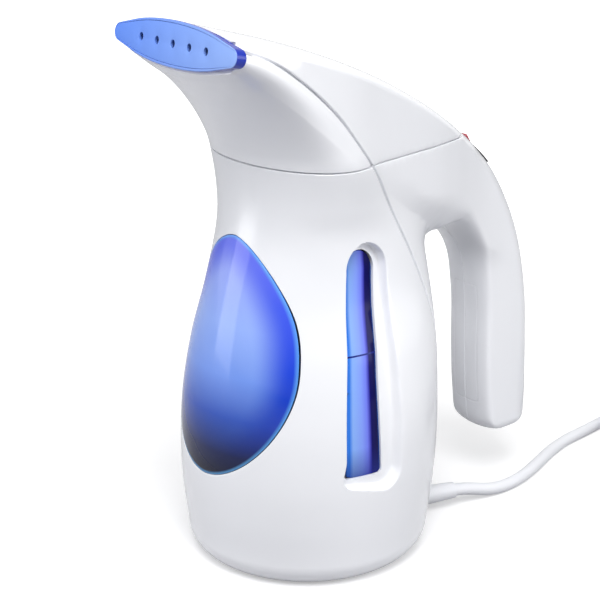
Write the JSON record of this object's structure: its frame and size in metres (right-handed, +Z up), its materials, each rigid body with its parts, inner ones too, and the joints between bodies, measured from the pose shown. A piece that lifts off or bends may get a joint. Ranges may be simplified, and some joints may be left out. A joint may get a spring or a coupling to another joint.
{
  "type": "handheld garment steamer",
  "caption": "Upright handheld garment steamer: vase-shaped water tank body, twist-off head with a slot-shaped steam nozzle, hanging grip, rocker switch and coiled mains cord.",
  "frame": {"origin": "middle of the flat base that rests on the table, on the tank axis", "axes": "+Z up along the tank axis, -X towards the nozzle, +X towards the grip, Y = 0 is the mirror plane of the casing"},
  "size_m": [0.39, 0.1531, 0.243],
  "materials": {
    "casing_white": "glossy",
    "window_blue": "glossy, translucent",
    "gauge_blue": "glossy, translucent",
    "nozzle_light_blue": "satin",
    "nozzle_deep_blue": "glossy",
    "tank_clear": "clear",
    "inner_plastic": "matte",
    "heater_alloy": "cast",
    "steel": "brushed",
    "silicone": "matte",
    "rubber_dark": "matte",
    "black_plastic": "satin",
    "red_plastic": "glossy",
    "phenolic": "matte",
    "pale_ceramic": "matte",
    "wire_red": "matte",
    "cord_white": "satin",
    "tie_dark": "matte",
    "brass": "plain"
  },
  "bodies": {
    "body": {"front_shell": "casing_white", "rear_shell": "casing_white", "handle_cover": "casing_white", "front_window": "window_blue", "gauge_left": "gauge_blue", "gauge_right": "gauge_blue", "water_tank": "tank_clear", "tank_collar": "inner_plastic", "deck_plate": "inner_plastic", "deck_screws": "steel", "heater_plate": "heater_alloy", "heater_element": "steel", "heater_seal": "silicone", "heater_screws": "steel", "thermostat": "phenolic", "thermal_fuse": "pale_ceramic", "terminal_block": "pale_ceramic", "wiring": "wire_red", "base_cover": "casing_white", "base_pads": "rubber_dark", "base_screws": "steel", "cord_gland": "cord_white", "cord_clamp": "inner_plastic", "clamp_screws": "steel", "switch_frame": "black_plastic", "switch_body": "phenolic", "rocker_pin": "steel", "cord_free": "cord_white", "cord_coil": "cord_white", "cord_tie": "tie_dark", "plug_body": "cord_white", "plug_blades": "brass"},
    "seal": {"mouth_seal": "silicone"},
    "head": {"head_front_shell": "casing_white", "head_rear_shell": "casing_white", "head_floor": "inner_plastic", "head_spigot": "inner_plastic", "head_screws": "steel", "steam_duct": "inner_plastic", "baffle": "steel", "nozzle_gasket": "silicone", "nozzle_rim": "nozzle_deep_blue", "nozzle_plate": "nozzle_light_blue"},
    "rocker": {"rocker": "red_plastic"}
  },
  "joints": [
    {"name": "head_lift", "type": "slide", "parent": "body", "child": "seal", "axis": [0, 0, 1], "range_m": [0, 0.08]},
    {"name": "head_twist", "type": "hinge", "parent": "seal", "child": "head", "pos_m": [0, 0, 0.1825], "axis": [0, 0, 1], "range_deg": [0, 15]},
    {"name": "rocker_turn", "type": "hinge", "parent": "body", "child": "rocker", "pos_m": [0.09013, 0, 0.16711], "axis": [0, 1, 0], "range_deg": [-18, 0]}
  ]
}
